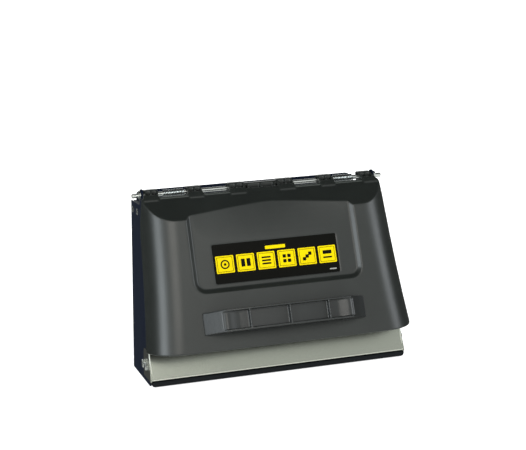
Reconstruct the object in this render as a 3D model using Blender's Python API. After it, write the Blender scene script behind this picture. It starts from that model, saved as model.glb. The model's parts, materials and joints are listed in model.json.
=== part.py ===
"""Rear discharge chute of a walk-behind lawn mower.

A flared duct of folded steel sheet carries a zinc deflector plate with a rubber lip along its foot. A moulded
cover with a pull handle closes the duct. It swings up on a rod held in the ears of the two cheeks, and two
torsion springs on that rod press it shut. Metres, +Z up, X across, and the cover faces -Y.
"""

import math

import bmesh
import bpy
import numpy
from mathutils import Matrix, Vector

# Hinge line, above the foot of the cheeks
HINGE_HEIGHT = 0.250
ROD_RADIUS = 0.003
ROD_HALF_LENGTH = 0.1776
ROD_CLEARANCE = 0.00035
ROD_SIDES = 16
SEAT_GAP = 0.0003

# How far a cutter that has no end of its own reaches
BEYOND = 0.6

# Moulded cover, measured from the hinge line
COVER_HALF_WIDTH = 0.166
COVER_FLARE_STRAIGHT = 0.005
COVER_FLARE_CURVED = 0.008
COVER_CORNER = 0.038
COVER_WALL = 0.003
LIP_Y, LIP_Z = -0.0155, -0.002
BROW_Y, BROW_Z = -0.0525, -0.031
FACE_LEAN = math.radians(17.3)
FACE_LENGTH = 0.1765
SIDE_DEPTH = 0.057
CORNER_STEPS = 20
LIP_BEAD = 0.002

# Recessed panel in the face, measured down from the brow
PANEL_HALF_WIDTH = 0.117
PANEL_FOOT = 0.100
PANEL_CORNER = 0.017
PANEL_DEPTH = 0.0045
PANEL_DRAFT = 0.006

# Scoop of the panel's floor, from the label up to its mouth in the roof
SCOOP_START, SCOOP_MOUTH, SCOOP_END = -0.034, 0.018, 0.032
SCOOP_DEPTH = 0.0081
SCOOP_EASE = 1.3
SCOOP_POWER = 1.55
SCOOP_SINK = 0.0002
SCOOP_STEPS = 28
SCOOP_ROWS = 8

# Label plate in its own shallow seat
LABEL_HALF_WIDTH = 0.0865
LABEL_TOP, LABEL_FOOT = 0.036, 0.0885
LABEL_THICKNESS = 0.0005
LABEL_SEAT_DEPTH = 0.0008
LABEL_SEAT_MARGIN = 0.0006
LABEL_CORNER = 0.002

# Hinge knuckles of the cover: inner and outer end of each on one side
KNUCKLES = ((0.0236, 0.0459), (0.083, 0.103), (0.1428, 0.1615))
KNUCKLE_RADIUS = 0.008
KNUCKLE_TOP = 0.007
CENTRE_DROP = 0.0018
POCKET_WALL = 0.0022
POCKET_FRONT, POCKET_BACK = -0.014, -0.0048
POCKET_FLOOR = -0.0065
CENTRE_RIBS = (-0.019, 0.0, 0.019)

# Ribs inside the cover
RIB_PLACES = (-0.135, -0.045, 0.045, 0.135)
RIB_THICKNESS = 0.002
RIB_DEPTH = 0.006
RIB_TOP_GAP = 0.0015

# Pull handle on the face
HANDLE_HALF_LENGTH = 0.112
HANDLE_KNEE = 0.086
HANDLE_KNEE_RISE = 0.024
HANDLE_RISE = 0.029
HANDLE_TOP, HANDLE_FOOT = 0.125, 0.154
HANDLE_FLANGE = 0.0026
HANDLE_WEB = 0.0035
HANDLE_BAY_DEPTH = 0.0075
HANDLE_GRIP_HALF = 0.077
HANDLE_GRIP_BEVEL = 0.006
HANDLE_RIM = 0.0895
WEB_HALF = 0.071
WEB_END_RISE = 0.0195
WEB_BEND_RADIUS = 0.025
WEB_BEND = math.radians(40)
WEB_BEND_STEPS = 8
HANDLE_RIBS = (-0.054, 0.0, 0.054)
HANDLE_RIB_THICKNESS = 0.0018
HANDLE_SCREW_X = 0.096
HANDLE_SCREW_SPREAD = 0.007
HANDLE_SCREW_RADIUS = 0.002
HANDLE_SCREW_HEAD = 0.004
HANDLE_SCREW_HEAD_HEIGHT = 0.0024
HANDLE_SCREW_REACH = 0.007

# Folded steel duct, whose cheeks stand on the floor
SHEET = 0.002
BEND = 0.003
FLOOR_SPARE = 0.006
EAR_INSIDE = 0.1634
EAR_RADIUS = 0.0085
DUCT_DEPTH = 0.075
CHEEK_GAP = 0.004
CHEEK_NOTCH_GAP = 0.0015
CHEEK_TOP = -0.014
FLANGE_WIDTH = 0.015
FLANGE_TOP = -0.037
ROOF_FRONT = 0.012
ROOF_SIDE_DROP = 0.018
ROOF_FLANGE_HEIGHT = 0.0135
DECK_HOLE = 0.003
DECK_HOLE_OUT = -0.008
DECK_HOLE_HEIGHTS = (-0.045, -0.132, -0.219)
ROOF_HOLES = (-0.11, 0.0, 0.11)
RIVET_RADIUS = 0.0024
RIVET_HEAD = 0.0045
RIVET_HEAD_HEIGHT = 0.0014
RIVET_PLACES = (0.024, 0.056)

# Zinc deflector plate and rubber lip
PLATE = 0.0015
PLATE_BEND = 0.0024
PLATE_HALF_WIDTH = 0.180
PLATE_SPARE = 0.004
PLATE_FOOT_Y, PLATE_FOOT_Z = -0.061, -0.242
PLATE_HEIGHT = 0.057
PLATE_FLANGE = 0.013
PLATE_NARROW_HALF = 0.160
PLATE_SHOULDER = -0.204
RETURN_BACK = -0.013
PLATE_BOLT_PLACES = (-0.041, -0.024)
PLATE_BOLT_Z = -0.224
LIP_HEIGHT = 0.0062
LIP_DEPTH = 0.0125
LIP_CORNER = 0.0045
LIP_SCREW_PLACES = (-0.150, -0.075, 0.0, 0.075, 0.150)

# Fasteners
BOLT_RADIUS = 0.003
BOLT_HEX = 0.0058
BOLT_HEAD_HEIGHT = 0.004
NUT_HEIGHT = 0.005
BOLT_SPARE = 0.0025
HOLE_CLEARANCE = 0.0004
LIP_SCREW_RADIUS = 0.0018
LIP_SCREW_HEAD = 0.0036
LIP_SCREW_HEAD_HEIGHT = 0.002
LIP_SCREW_SPARE = 0.003

# Rod washers and clips
WASHER_RADIUS = 0.0065
WASHER_THICKNESS = 0.0014
CLIP_RADIUS = 0.0058
CLIP_THICKNESS = 0.001
CLIP_GAP_ANGLE = math.radians(70)

# Torsion springs
WIRE_RADIUS = 0.00075
COIL_RADIUS = 0.0045
COIL_INNER_END, COIL_OUTER_END = 0.1065, 0.1352
COIL_TURNS = 14
COIL_STEPS = 8
LEG_HOLE = (-0.0085, -0.0005)
LEG_HOLE_RADIUS = 0.0012
LEG_INTO_KNUCKLE = 0.0045
FIXED_LEG_LENGTH = 0.020

X_AXIS, Y_AXIS = Vector((1, 0, 0)), Vector((0, 1, 0))
ROOF_SLOPE = math.atan2(LIP_Z - BROW_Z, LIP_Y - BROW_Y)
FACE_UP = Vector((0, math.sin(FACE_LEAN), math.cos(FACE_LEAN)))
FACE_OUT = Vector((0, -math.cos(FACE_LEAN), math.sin(FACE_LEAN)))
BROW = Vector((0, BROW_Y, BROW_Z))
COVER_FOOT = BROW - FACE_UP * FACE_LENGTH
HANDLE_TIP = BROW - FACE_UP * HANDLE_FOOT + FACE_OUT * HANDLE_RISE
HINGE = Vector((0, -(HANDLE_TIP.y + DUCT_DEPTH) / 2, HINGE_HEIGHT))
CHEEK_TILT = math.atan2(
    PLATE_HALF_WIDTH - PLATE - SEAT_GAP - SHEET - EAR_INSIDE, -PLATE_FOOT_Z)


def clear_scene():
    for old in list(bpy.data.objects):
        bpy.data.objects.remove(old, do_unlink=True)


def collection(name, helper=False):
    made = bpy.data.collections.new(name)
    bpy.context.scene.collection.children.link(made)
    made.hide_render = helper
    return made


def material(name, colour, roughness, metallic=0.0):
    made = bpy.data.materials.new(name)
    made.use_nodes = True
    shader = made.node_tree.nodes["Principled BSDF"]
    shader.inputs["Base Color"].default_value = (*colour, 1.0)
    shader.inputs["Roughness"].default_value = roughness
    shader.inputs["Metallic"].default_value = metallic
    made.diffuse_color = (*colour, 1.0)
    return made


clear_scene()
PARTS = collection("rear_discharge_chute")
CUTTERS = collection("cutters", helper=True)
COVER_PLASTIC = material("cover_plastic", (0.045, 0.048, 0.046), 0.42)
HANDLE_PLASTIC = material("handle_plastic", (0.04, 0.042, 0.042), 0.38)
DUCT_PAINT = material("duct_paint", (0.012, 0.02, 0.055), 0.3)
ZINC = material("zinc_sheet", (0.55, 0.56, 0.53), 0.38, 1.0)
PLATED_STEEL = material("plated_steel", (0.6, 0.63, 0.62), 0.25, 1.0)
SPRING_STEEL = material("spring_steel", (0.62, 0.66, 0.66), 0.22, 1.0)
RUBBER = material("rubber", (0.012, 0.012, 0.013), 0.7)
LABEL_FILM = material("label_film", (0.016, 0.016, 0.013), 0.35)


def add_object(name, mesh, finish=None):
    """Puts the mesh among the parts, or among the cutters where it has no finish."""
    made = bpy.data.objects.new(name, mesh)
    (PARTS if finish else CUTTERS).objects.link(made)
    if finish:
        mesh.materials.append(finish)
        mesh.shade_smooth()
        mesh.set_sharp_from_angle(angle=math.radians(32))
    else:
        made.hide_render = True
        made.display_type = "WIRE"
    return made


def from_bmesh(name, shape, finish=None):
    bmesh.ops.recalc_face_normals(shape, faces=shape.faces)
    if shape.calc_volume(signed=True) < 0:
        bmesh.ops.reverse_faces(shape, faces=shape.faces)
    mesh = bpy.data.meshes.new(name)
    shape.to_mesh(mesh)
    shape.free()
    return add_object(name, mesh, finish)


def combine(target, other, operation):
    """Joins to the target, or cuts from it, with an exact Boolean."""
    modifier = target.modifiers.new(f"{operation.lower()}_{other.name}", "BOOLEAN")
    modifier.operation = operation
    modifier.solver = "EXACT"
    modifier.object = other
    return target


def join(target, other):
    return combine(target, other, "UNION")


def cut(target, other):
    return combine(target, other, "DIFFERENCE")


def circle(radius, steps, centre=(0.0, 0.0), start=0.0, sweep=math.tau):
    """Points of a circle, or of an arc when the sweep is less than a full turn."""
    count = steps if sweep == math.tau else steps + 1
    return [(centre[0] + radius * math.cos(start + sweep * i / steps),
             centre[1] + radius * math.sin(start + sweep * i / steps)) for i in range(count)]


def rounded_corner(before, corner, after, radius, steps):
    """Points of the arc that rounds the corner of a path."""
    before, corner, after = Vector(before), Vector(corner), Vector(after)
    to_before, to_after = (before - corner).normalized(), (after - corner).normalized()
    half = to_before.angle(to_after) / 2
    reach = radius / math.tan(half)
    centre = corner + (to_before + to_after).normalized() * (radius / math.sin(half))
    start = (corner + to_before * reach - centre).normalized()
    end = (corner + to_after * reach - centre).normalized()
    return [tuple(centre + start.slerp(end, i / steps) * radius) for i in range(steps + 1)]


def rounded(corners, steps=4, closed=True):
    """A path with some corners rounded: each corner is (u, v) or (u, v, radius)."""
    points = []
    for i, corner in enumerate(corners):
        inside = closed or 0 < i < len(corners) - 1
        if len(corner) == 3 and inside:
            before, after = corners[i - 1], corners[(i + 1) % len(corners)]
            points += rounded_corner(before[:2], corner[:2], after[:2], corner[2], steps)
        else:
            points.append(tuple(corner[:2]))
    return points


def sheet_outline(corners, thickness, bend, steps=4):
    """The closed outline of a folded sheet whose middle runs through the corners, bent at each inner one."""
    path = [Vector(p) for p in rounded(
        [corners[0]] + [(*c, bend) for c in corners[1:-1]] + [corners[-1]], steps, closed=False)]
    left, right = [], []
    for i, point in enumerate(path):
        before = path[max(i - 1, 0)]
        after = path[min(i + 1, len(path) - 1)]
        along = (after - before).normalized()
        across = Vector((-along.y, along.x)) * thickness / 2
        left.append(tuple(point + across))
        right.append(tuple(point - across))
    return left + right[::-1]


def outline_solid(name, loops, low, high, axes, origin, finish=None):
    """Extrudes flat loops between two levels. The axes say where u, v and the levels point in the world."""
    data = bpy.data.curves.new(name, "CURVE")
    data.dimensions = "2D"
    data.fill_mode = "BOTH"
    data.extrude = (high - low) / 2
    for loop in loops:
        spline = data.splines.new("POLY")
        spline.points.add(len(loop) - 1)
        for point, (u, v) in zip(spline.points, loop):
            point.co = (u, v, 0, 1)
        spline.use_cyclic_u = True
    guide = bpy.data.objects.new(name + "_outline", data)
    CUTTERS.objects.link(guide)
    bpy.context.view_layer.update()
    evaluated = guide.evaluated_get(bpy.context.evaluated_depsgraph_get())
    mesh = bpy.data.meshes.new_from_object(evaluated)
    bpy.data.objects.remove(guide, do_unlink=True)
    shape = bmesh.new()
    shape.from_mesh(mesh)
    bpy.data.meshes.remove(mesh)
    bmesh.ops.remove_doubles(shape, verts=shape.verts, dist=1e-6)
    frame = Matrix([Vector(a) for a in axes]).transposed().to_4x4()
    middle = Vector(axes[2]) * (low + high) / 2
    shape.transform(Matrix.Translation(Vector(origin) + middle) @ frame)
    return from_bmesh(name, shape, finish)


# Where u, v and the extrusion point for outlines drawn in side view, front view and on the face
SIDE_VIEW = ((0, 1, 0), (0, 0, 1), (1, 0, 0))
FRONT_VIEW = ((1, 0, 0), (0, 0, 1), (0, -1, 0))
PLAN_VIEW = ((1, 0, 0), (0, 1, 0), (0, 0, 1))
ON_FACE = (tuple(X_AXIS), tuple(FACE_UP), tuple(FACE_OUT))
HANDLE_PLAN = (tuple(X_AXIS), tuple(FACE_OUT), tuple(-FACE_UP))


def side_view_solid(name, loops, low, high, finish=None):
    return outline_solid(name, loops, low, high, SIDE_VIEW, HINGE, finish)


def face_solid(name, loops, low, high, finish=None):
    return outline_solid(name, loops, low, high, ON_FACE, HINGE + BROW, finish)


def turned(name, profile, start, direction, sides, finish=None):
    """Turns (radius, distance along the axis) stations round an axis that runs from the start."""
    shape = bmesh.new()
    rings = []
    for radius, along in profile:
        rings.append([shape.verts.new((u, v, along)) for u, v in circle(radius, sides)])
    for low, high in zip(rings, rings[1:]):
        for i in range(sides):
            shape.faces.new((low[i], low[(i + 1) % sides], high[(i + 1) % sides], high[i]))
    shape.faces.new(rings[0][::-1])
    shape.faces.new(rings[-1])
    turn = Vector(direction).to_track_quat("Z", "Y").to_matrix().to_4x4()
    shape.transform(Matrix.Translation(Vector(start)) @ turn)
    return from_bmesh(name, shape, finish)


def pin(name, radius, start, direction, length, sides=ROD_SIDES, finish=None):
    return turned(name, [(radius, 0.0), (radius, length)], start, direction, sides, finish)


def loft_shape(rings):
    """A closed form through rings of points that all hold the same number."""
    shape = bmesh.new()
    placed = [[shape.verts.new(p) for p in ring] for ring in rings]
    count = len(placed[0])
    for low, high in zip(placed, placed[1:]):
        for i in range(count):
            shape.faces.new((low[i], low[(i + 1) % count], high[(i + 1) % count], high[i]))
    shape.faces.new(placed[0][::-1])
    shape.faces.new(placed[-1])
    return shape


def loft(name, rings):
    return from_bmesh(name, loft_shape(rings))


def slice_off(shape, point, outward):
    """Removes what lies beyond a plane and closes the cut."""
    everything = shape.verts[:] + shape.edges[:] + shape.faces[:]
    cut_through = bmesh.ops.bisect_plane(
        shape, geom=everything, plane_co=point, plane_no=outward, clear_outer=True, dist=1e-7)
    edges = [e for e in cut_through["geom_cut"] if isinstance(e, bmesh.types.BMEdge)]
    bmesh.ops.edgeloop_fill(shape, edges=edges)


def cover_half_width(drop):
    share = max(drop, 0.0) / -COVER_FOOT.z
    return COVER_HALF_WIDTH + COVER_FLARE_STRAIGHT * share + COVER_FLARE_CURVED * share * share


def cover_section(z, inset, back):
    """The cover's section at one height: a U with round corners, closed across the back."""
    front = BROW_Y + (z - BROW_Z) * math.tan(FACE_LEAN) + inset / math.cos(FACE_LEAN)
    half = cover_half_width(-z) - inset
    radius = COVER_CORNER - inset
    centre_y = front + radius
    right = circle(radius, CORNER_STEPS, (half - radius, centre_y), -math.pi / 2, math.pi / 2)
    left = circle(radius, CORNER_STEPS, (radius - half, centre_y), math.pi, math.pi / 2)
    ring = [(half, back)] + right[::-1] + left[::-1] + [(-half, back)]
    return [HINGE + Vector((x, y, z)) for x, y in ring]


def cover_body(name, inset, below, behind):
    """The cover's outer form, or the hollow inside it: flared, cut along the roof and along the back edge."""
    levels = [COVER_FOOT.z - below] + [COVER_FOOT.z * k / 5 for k in (5, 4, 3, 2, 1, 0)] + [0.02]
    if not below:
        levels = levels[1:]
    shape = loft_shape([cover_section(z, inset, DUCT_DEPTH) for z in levels])
    roof_out = Vector((0, -math.sin(ROOF_SLOPE), math.cos(ROOF_SLOPE)))
    slice_off(shape, HINGE + BROW - roof_out * inset, roof_out)
    back_foot = COVER_FOOT.y + SIDE_DEPTH
    edge = Vector((0, LIP_Y - back_foot, LIP_Z - COVER_FOOT.z))
    back_out = Vector((0, edge.z, -edge.y)).normalized()
    slice_off(shape, HINGE + Vector((0, LIP_Y + behind, LIP_Z)), back_out)
    return from_bmesh(name, shape)


def panel_outline(grow):
    """The panel's rim on the face, open towards the roof. A smaller one lies on its floor."""
    half = PANEL_HALF_WIDTH + grow
    foot = -PANEL_FOOT - grow
    corner = PANEL_CORNER + grow
    top = 0.045
    return rounded([(-half, top), (-half, foot, corner), (half, foot, corner), (half, top)], 6)


def panel_block(name, margin, depth):
    """The hollow of the panel with its sloping walls, or the pan that backs it when the margin is a wall."""
    slope = PANEL_DRAFT / PANEL_DEPTH
    outside = 0.010
    stations = ((outside, outside * slope), (-depth, -depth * slope))
    rings = []
    for level, grow in stations:
        rings.append([HINGE + BROW + X_AXIS * u + FACE_UP * v + FACE_OUT * level
                      for u, v in panel_outline(grow + margin)])
    return loft(name, rings)


def scoop(name, inset):
    """Deepens the panel's floor towards the roof, which gives the roof's front edge its arch."""
    half = PANEL_HALF_WIDTH - PANEL_DRAFT
    rings = []
    for k in range(SCOOP_ROWS + 1):
        level = SCOOP_START + (SCOOP_END - SCOOP_START) * k / SCOOP_ROWS
        reach = (level - SCOOP_START) / (SCOOP_MOUTH - SCOOP_START)
        extra = SCOOP_DEPTH * max(reach, 0.0) ** SCOOP_EASE
        floor = -PANEL_DEPTH - inset + SCOOP_SINK
        ring = [(-half, 0.01), (half, 0.01)]
        for i in range(SCOOP_STEPS + 1):
            share = 1 - 2 * i / SCOOP_STEPS
            ring.append((half * share, floor - extra * (1 - abs(share) ** SCOOP_POWER)))
        rings.append([HINGE + BROW + X_AXIS * u + FACE_UP * level + FACE_OUT * out for u, out in ring])
    return loft(name, rings)


def knuckle_outline(drop):
    """Side view of a hinge knuckle: round under the rod, with a top that falls to the roof."""
    roof = BROW_Z + (LIP_Y - 0.0075 - BROW_Y) * math.tan(ROOF_SLOPE)
    top = KNUCKLE_TOP - drop
    front = [(LIP_Y - 0.0075, roof - 0.0025), (LIP_Y - 0.006, roof + 0.0028 - drop), (LIP_Y, 0.0008 - drop),
             (-0.003, top)]
    back = rounded([(-0.003, top), (KNUCKLE_RADIUS, top, 0.002), (KNUCKLE_RADIUS, 0.0)], 3, closed=False)[1:]
    under = circle(KNUCKLE_RADIUS, 6, (0.0, 0.0), 0.0, -math.pi / 2)[1:]
    return front + back + under


def knuckle_spans():
    """(start, end, drop) of each knuckle, and of the lower trough that joins the two in the middle."""
    spans = []
    for near, far in KNUCKLES:
        spans += [(near, far, 0.0), (-far, -near, 0.0)]
    inner = KNUCKLES[0][0]
    spans.append((-inner - POCKET_WALL / 2, inner + POCKET_WALL / 2, CENTRE_DROP))
    return spans


def pocket_spans():
    """(start, end) of each open pocket in the knuckles."""
    spans = []
    for near, far in KNUCKLES:
        middle = (near + far) / 2
        for low, high in ((near + POCKET_WALL, middle - POCKET_WALL / 2),
                          (middle + POCKET_WALL / 2, far - POCKET_WALL)):
            spans += [(low, high), (-high, -low)]
    inner = KNUCKLES[0][0]
    edges = [-inner] + list(CENTRE_RIBS) + [inner]
    for low, high in zip(edges, edges[1:]):
        spans.append((low + POCKET_WALL / 2, high - POCKET_WALL / 2))
    return spans


def build_cover():
    cover = cover_body("cover_outer", 0.0, 0.0, 0.0)
    CUTTERS.objects.unlink(cover)
    PARTS.objects.link(cover)
    cover.name = "cover"
    cover.hide_render = False
    cover.display_type = "TEXTURED"
    cover.data.materials.append(COVER_PLASTIC)
    hollow = cover_body("cover_hollow", COVER_WALL, 0.01, 0.02)
    cut(hollow, panel_block("panel_pan", COVER_WALL, PANEL_DEPTH + COVER_WALL))
    cut(hollow, scoop("scoop_pan", COVER_WALL))
    cut(cover, hollow)
    cut(cover, panel_block("panel_hollow", 0.0, PANEL_DEPTH))
    cut(cover, scoop("panel_scoop", 0.0))
    bead_end = KNUCKLES[-1][1]
    bead = pin("lip_bead", LIP_BEAD, HINGE + Vector((-bead_end, LIP_Y, LIP_Z - LIP_BEAD)), X_AXIS,
               2 * bead_end, 10)
    join(cover, bead)
    for i, (low, high, drop) in enumerate(knuckle_spans()):
        join(cover, side_view_solid(f"knuckle_{i}", [knuckle_outline(drop)], low, high))
    for i, (low, high) in enumerate(pocket_spans()):
        pocket = [(POCKET_FRONT, POCKET_FLOOR), (POCKET_BACK, POCKET_FLOOR), (POCKET_BACK, 0.02),
                  (POCKET_FRONT, 0.02)]
        cut(cover, side_view_solid(f"pocket_{i}", [pocket], low, high))
    bore = pin("rod_bore", ROD_RADIUS + ROD_CLEARANCE, HINGE - X_AXIS * 0.2, X_AXIS, 0.4)
    cut(cover, bore)
    for i, x in enumerate(RIB_PLACES):
        foot = -FACE_LENGTH + 0.006
        top = -PANEL_FOOT - RIB_TOP_GAP
        rib = [(x - RIB_THICKNESS / 2, foot), (x + RIB_THICKNESS / 2, foot),
               (x + RIB_THICKNESS / 2, top), (x - RIB_THICKNESS / 2, top)]
        join(cover, face_solid(f"inner_rib_{i}", [rib], -COVER_WALL - RIB_DEPTH, -COVER_WALL / 2))
    cut_label_seat(cover)
    for i, place in enumerate(handle_screw_places()):
        hole = pin(f"handle_hole_{i}", HANDLE_SCREW_RADIUS + HOLE_CLEARANCE, place - FACE_OUT * 0.012,
                   FACE_OUT, 0.02, 12)
        cut(cover, hole)
    for side in (-1, 1):
        reach = KNUCKLES[-1][0] - 0.001
        start = HINGE + Vector((side * reach, *LEG_HOLE))
        cut(cover, pin(f"leg_hole_{side + 1}", LEG_HOLE_RADIUS, start, X_AXIS * side, POCKET_WALL + 0.002, 10))
    return cover


def cut_label_seat(cover):
    half = LABEL_HALF_WIDTH + LABEL_SEAT_MARGIN
    top, foot = -LABEL_TOP + LABEL_SEAT_MARGIN, -LABEL_FOOT - LABEL_SEAT_MARGIN
    corner = LABEL_CORNER + LABEL_SEAT_MARGIN
    seat = rounded([(-half, foot, corner), (half, foot, corner), (half, top, corner), (-half, top, corner)])
    cut(cover, face_solid("label_seat", [seat], -PANEL_DEPTH - LABEL_SEAT_DEPTH, 0.005))


def build_label():
    half = LABEL_HALF_WIDTH
    outline = rounded([(-half, -LABEL_FOOT, LABEL_CORNER), (half, -LABEL_FOOT, LABEL_CORNER),
                       (half, -LABEL_TOP, LABEL_CORNER), (-half, -LABEL_TOP, LABEL_CORNER)])
    low = -PANEL_DEPTH - LABEL_SEAT_DEPTH + SEAT_GAP
    return face_solid("label_plate", [outline], low, low + LABEL_THICKNESS, LABEL_FILM)


def handle_screw_places():
    middle = (HANDLE_TOP + HANDLE_FOOT) / 2
    return [HINGE + BROW + X_AXIS * side * HANDLE_SCREW_X - FACE_UP * (middle + up * HANDLE_SCREW_SPREAD)
            for side in (-1, 1) for up in (-1, 1)]


def bow_curve(half, knee_rise, middle_rise, steps=10):
    """The gentle arch of the handle between its knees."""
    return [(half * (2 * i / steps - 1),
             middle_rise - (middle_rise - knee_rise) * (2 * i / steps - 1) ** 2) for i in range(steps + 1)]


def handle_floor():
    """The web between the handle's flanges, from rim to rim: it bends down at the knees and rises to the ramps."""
    middle = bow_curve(WEB_HALF, WEB_END_RISE, HANDLE_RISE - HANDLE_BAY_DEPTH, 16)
    bend = []
    for k in range(1, WEB_BEND_STEPS + 1):
        angle = WEB_BEND * k / WEB_BEND_STEPS
        bend.append((WEB_HALF + WEB_BEND_RADIUS * math.sin(angle),
                     WEB_END_RISE - WEB_BEND_RADIUS * (1 - math.cos(angle))))
    low_x, low_z = bend[-1]
    rim_rise = HANDLE_KNEE_RISE * (HANDLE_HALF_LENGTH - HANDLE_RIM) / (HANDLE_HALF_LENGTH - HANDLE_KNEE)
    wall = [(low_x + (HANDLE_RIM - low_x) * math.sin(angle), low_z + (rim_rise - low_z) * (1 - math.cos(angle)))
            for angle in (math.radians(a) for a in (30, 55, 75, 90))]
    end = bend + wall
    return [(-x, z) for x, z in reversed(end)] + middle + end


def build_handle():
    outer = [(-HANDLE_HALF_LENGTH, SEAT_GAP)] + bow_curve(HANDLE_KNEE, HANDLE_KNEE_RISE, HANDLE_RISE)
    outer.append((HANDLE_HALF_LENGTH, SEAT_GAP))
    web_back = HANDLE_BAY_DEPTH + HANDLE_WEB
    grip = bow_curve(HANDLE_GRIP_HALF - HANDLE_GRIP_BEVEL, WEB_END_RISE - HANDLE_WEB, HANDLE_RISE - web_back)
    shoulder = grip[0][1] - HANDLE_GRIP_BEVEL
    inner = [(HANDLE_GRIP_HALF, SEAT_GAP), (HANDLE_GRIP_HALF, shoulder)] + grip[::-1]
    inner += [(-HANDLE_GRIP_HALF, shoulder), (-HANDLE_GRIP_HALF, SEAT_GAP)]
    bow = outer + inner
    handle = outline_solid("pull_handle", [bow], HANDLE_TOP, HANDLE_FOOT, HANDLE_PLAN, HINGE + BROW,
                           HANDLE_PLASTIC)
    half_rib = HANDLE_RIB_THICKNESS / 2
    starts = [-HANDLE_RIM] + [x + half_rib for x in HANDLE_RIBS]
    ends = [x - half_rib for x in HANDLE_RIBS] + [HANDLE_RIM]
    for i, (start, end) in enumerate(zip(starts, ends)):
        cut(handle, handle_bay(i, start, end))
    for i, place in enumerate(handle_screw_places()):
        hole = pin(f"handle_bore_{i}", HANDLE_SCREW_RADIUS + HOLE_CLEARANCE, place - FACE_OUT * 0.002,
                   FACE_OUT, HANDLE_SCREW_REACH + 0.003, 12)
        cut(handle, hole)
    return handle


def handle_bay(index, start, end):
    """One open bay of the handle, between two ribs or between a rib and a ramp."""
    across, rise = zip(*handle_floor())
    over = HANDLE_RISE + 0.01
    floor = [(start, float(numpy.interp(start, across, rise)))]
    floor += [(x, z) for x, z in zip(across, rise) if start < x < end]
    floor.append((end, float(numpy.interp(end, across, rise))))
    return outline_solid(f"handle_bay_{index}", [[(start, over)] + floor + [(end, over)]],
                         HANDLE_TOP + HANDLE_FLANGE, HANDLE_FOOT - HANDLE_FLANGE, HANDLE_PLAN, HINGE + BROW)


def build_handle_screws():
    for i, place in enumerate(handle_screw_places()):
        under = -COVER_WALL - SEAT_GAP
        profile = [(HANDLE_SCREW_HEAD * 0.7, under - HANDLE_SCREW_HEAD_HEIGHT),
                   (HANDLE_SCREW_HEAD, under - HANDLE_SCREW_HEAD_HEIGHT * 0.5), (HANDLE_SCREW_HEAD, under),
                   (HANDLE_SCREW_RADIUS, under), (HANDLE_SCREW_RADIUS, HANDLE_SCREW_REACH)]
        turned(f"handle_screw_{i + 1}", profile, place, FACE_OUT, 12, PLATED_STEEL)


def cheek_axes(side):
    """Outward, along Y and up in the plane of one cheek, which leans out towards its foot."""
    outward = Vector((side * math.cos(CHEEK_TILT), 0, math.sin(CHEEK_TILT)))
    upward = Vector((-side * math.sin(CHEEK_TILT), 0, math.cos(CHEEK_TILT)))
    return outward, upward


def on_cheek(side, out, y, up):
    outward, upward = cheek_axes(side)
    return HINGE + X_AXIS * side * EAR_INSIDE + outward * out + Y_AXIS * y + upward * up


def cheek_solid(name, loops, side, low, high, finish=None):
    """Extrudes a side view outline through a stretch of the cheek's own outward axis."""
    outward, upward = cheek_axes(side)
    if side > 0:
        axes, levels = (Y_AXIS, upward, outward), (low, high)
    else:
        axes, levels = (Y_AXIS, upward, -outward), (-high, -low)
    return outline_solid(name, loops, *levels, [tuple(a) for a in axes],
                         HINGE + X_AXIS * side * EAR_INSIDE, finish)


def cheek_outline():
    """Side view of a cheek: a leaning front edge behind the cover, an ear round the rod, a straight back."""
    edge = (LIP_Y - COVER_FOOT.y - SIDE_DEPTH) / (LIP_Z - COVER_FOOT.z)
    foot = -HINGE_HEIGHT - FLOOR_SPARE
    front_top = LIP_Y + CHEEK_GAP + (CHEEK_TOP - LIP_Z) * edge
    notch_back = PLATE_FOOT_Y + PLATE_FLANGE + CHEEK_NOTCH_GAP
    notch_top = PLATE_FOOT_Z + PLATE + 2 * CHEEK_NOTCH_GAP
    notch_front = LIP_Y + CHEEK_GAP + (notch_top - LIP_Z) * edge
    ear = circle(EAR_RADIUS, 12, (0.0, 0.0), math.pi, -math.pi)
    path = [(notch_back, foot), (notch_back, notch_top), (notch_front, notch_top),
            (front_top, CHEEK_TOP)] + ear
    path += rounded([(EAR_RADIUS, 0.0), (EAR_RADIUS, CHEEK_TOP, 0.004), (DUCT_DEPTH, CHEEK_TOP)], 3,
                    closed=False)[1:-1]
    return path + [(DUCT_DEPTH, CHEEK_TOP), (DUCT_DEPTH, foot)]


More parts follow.
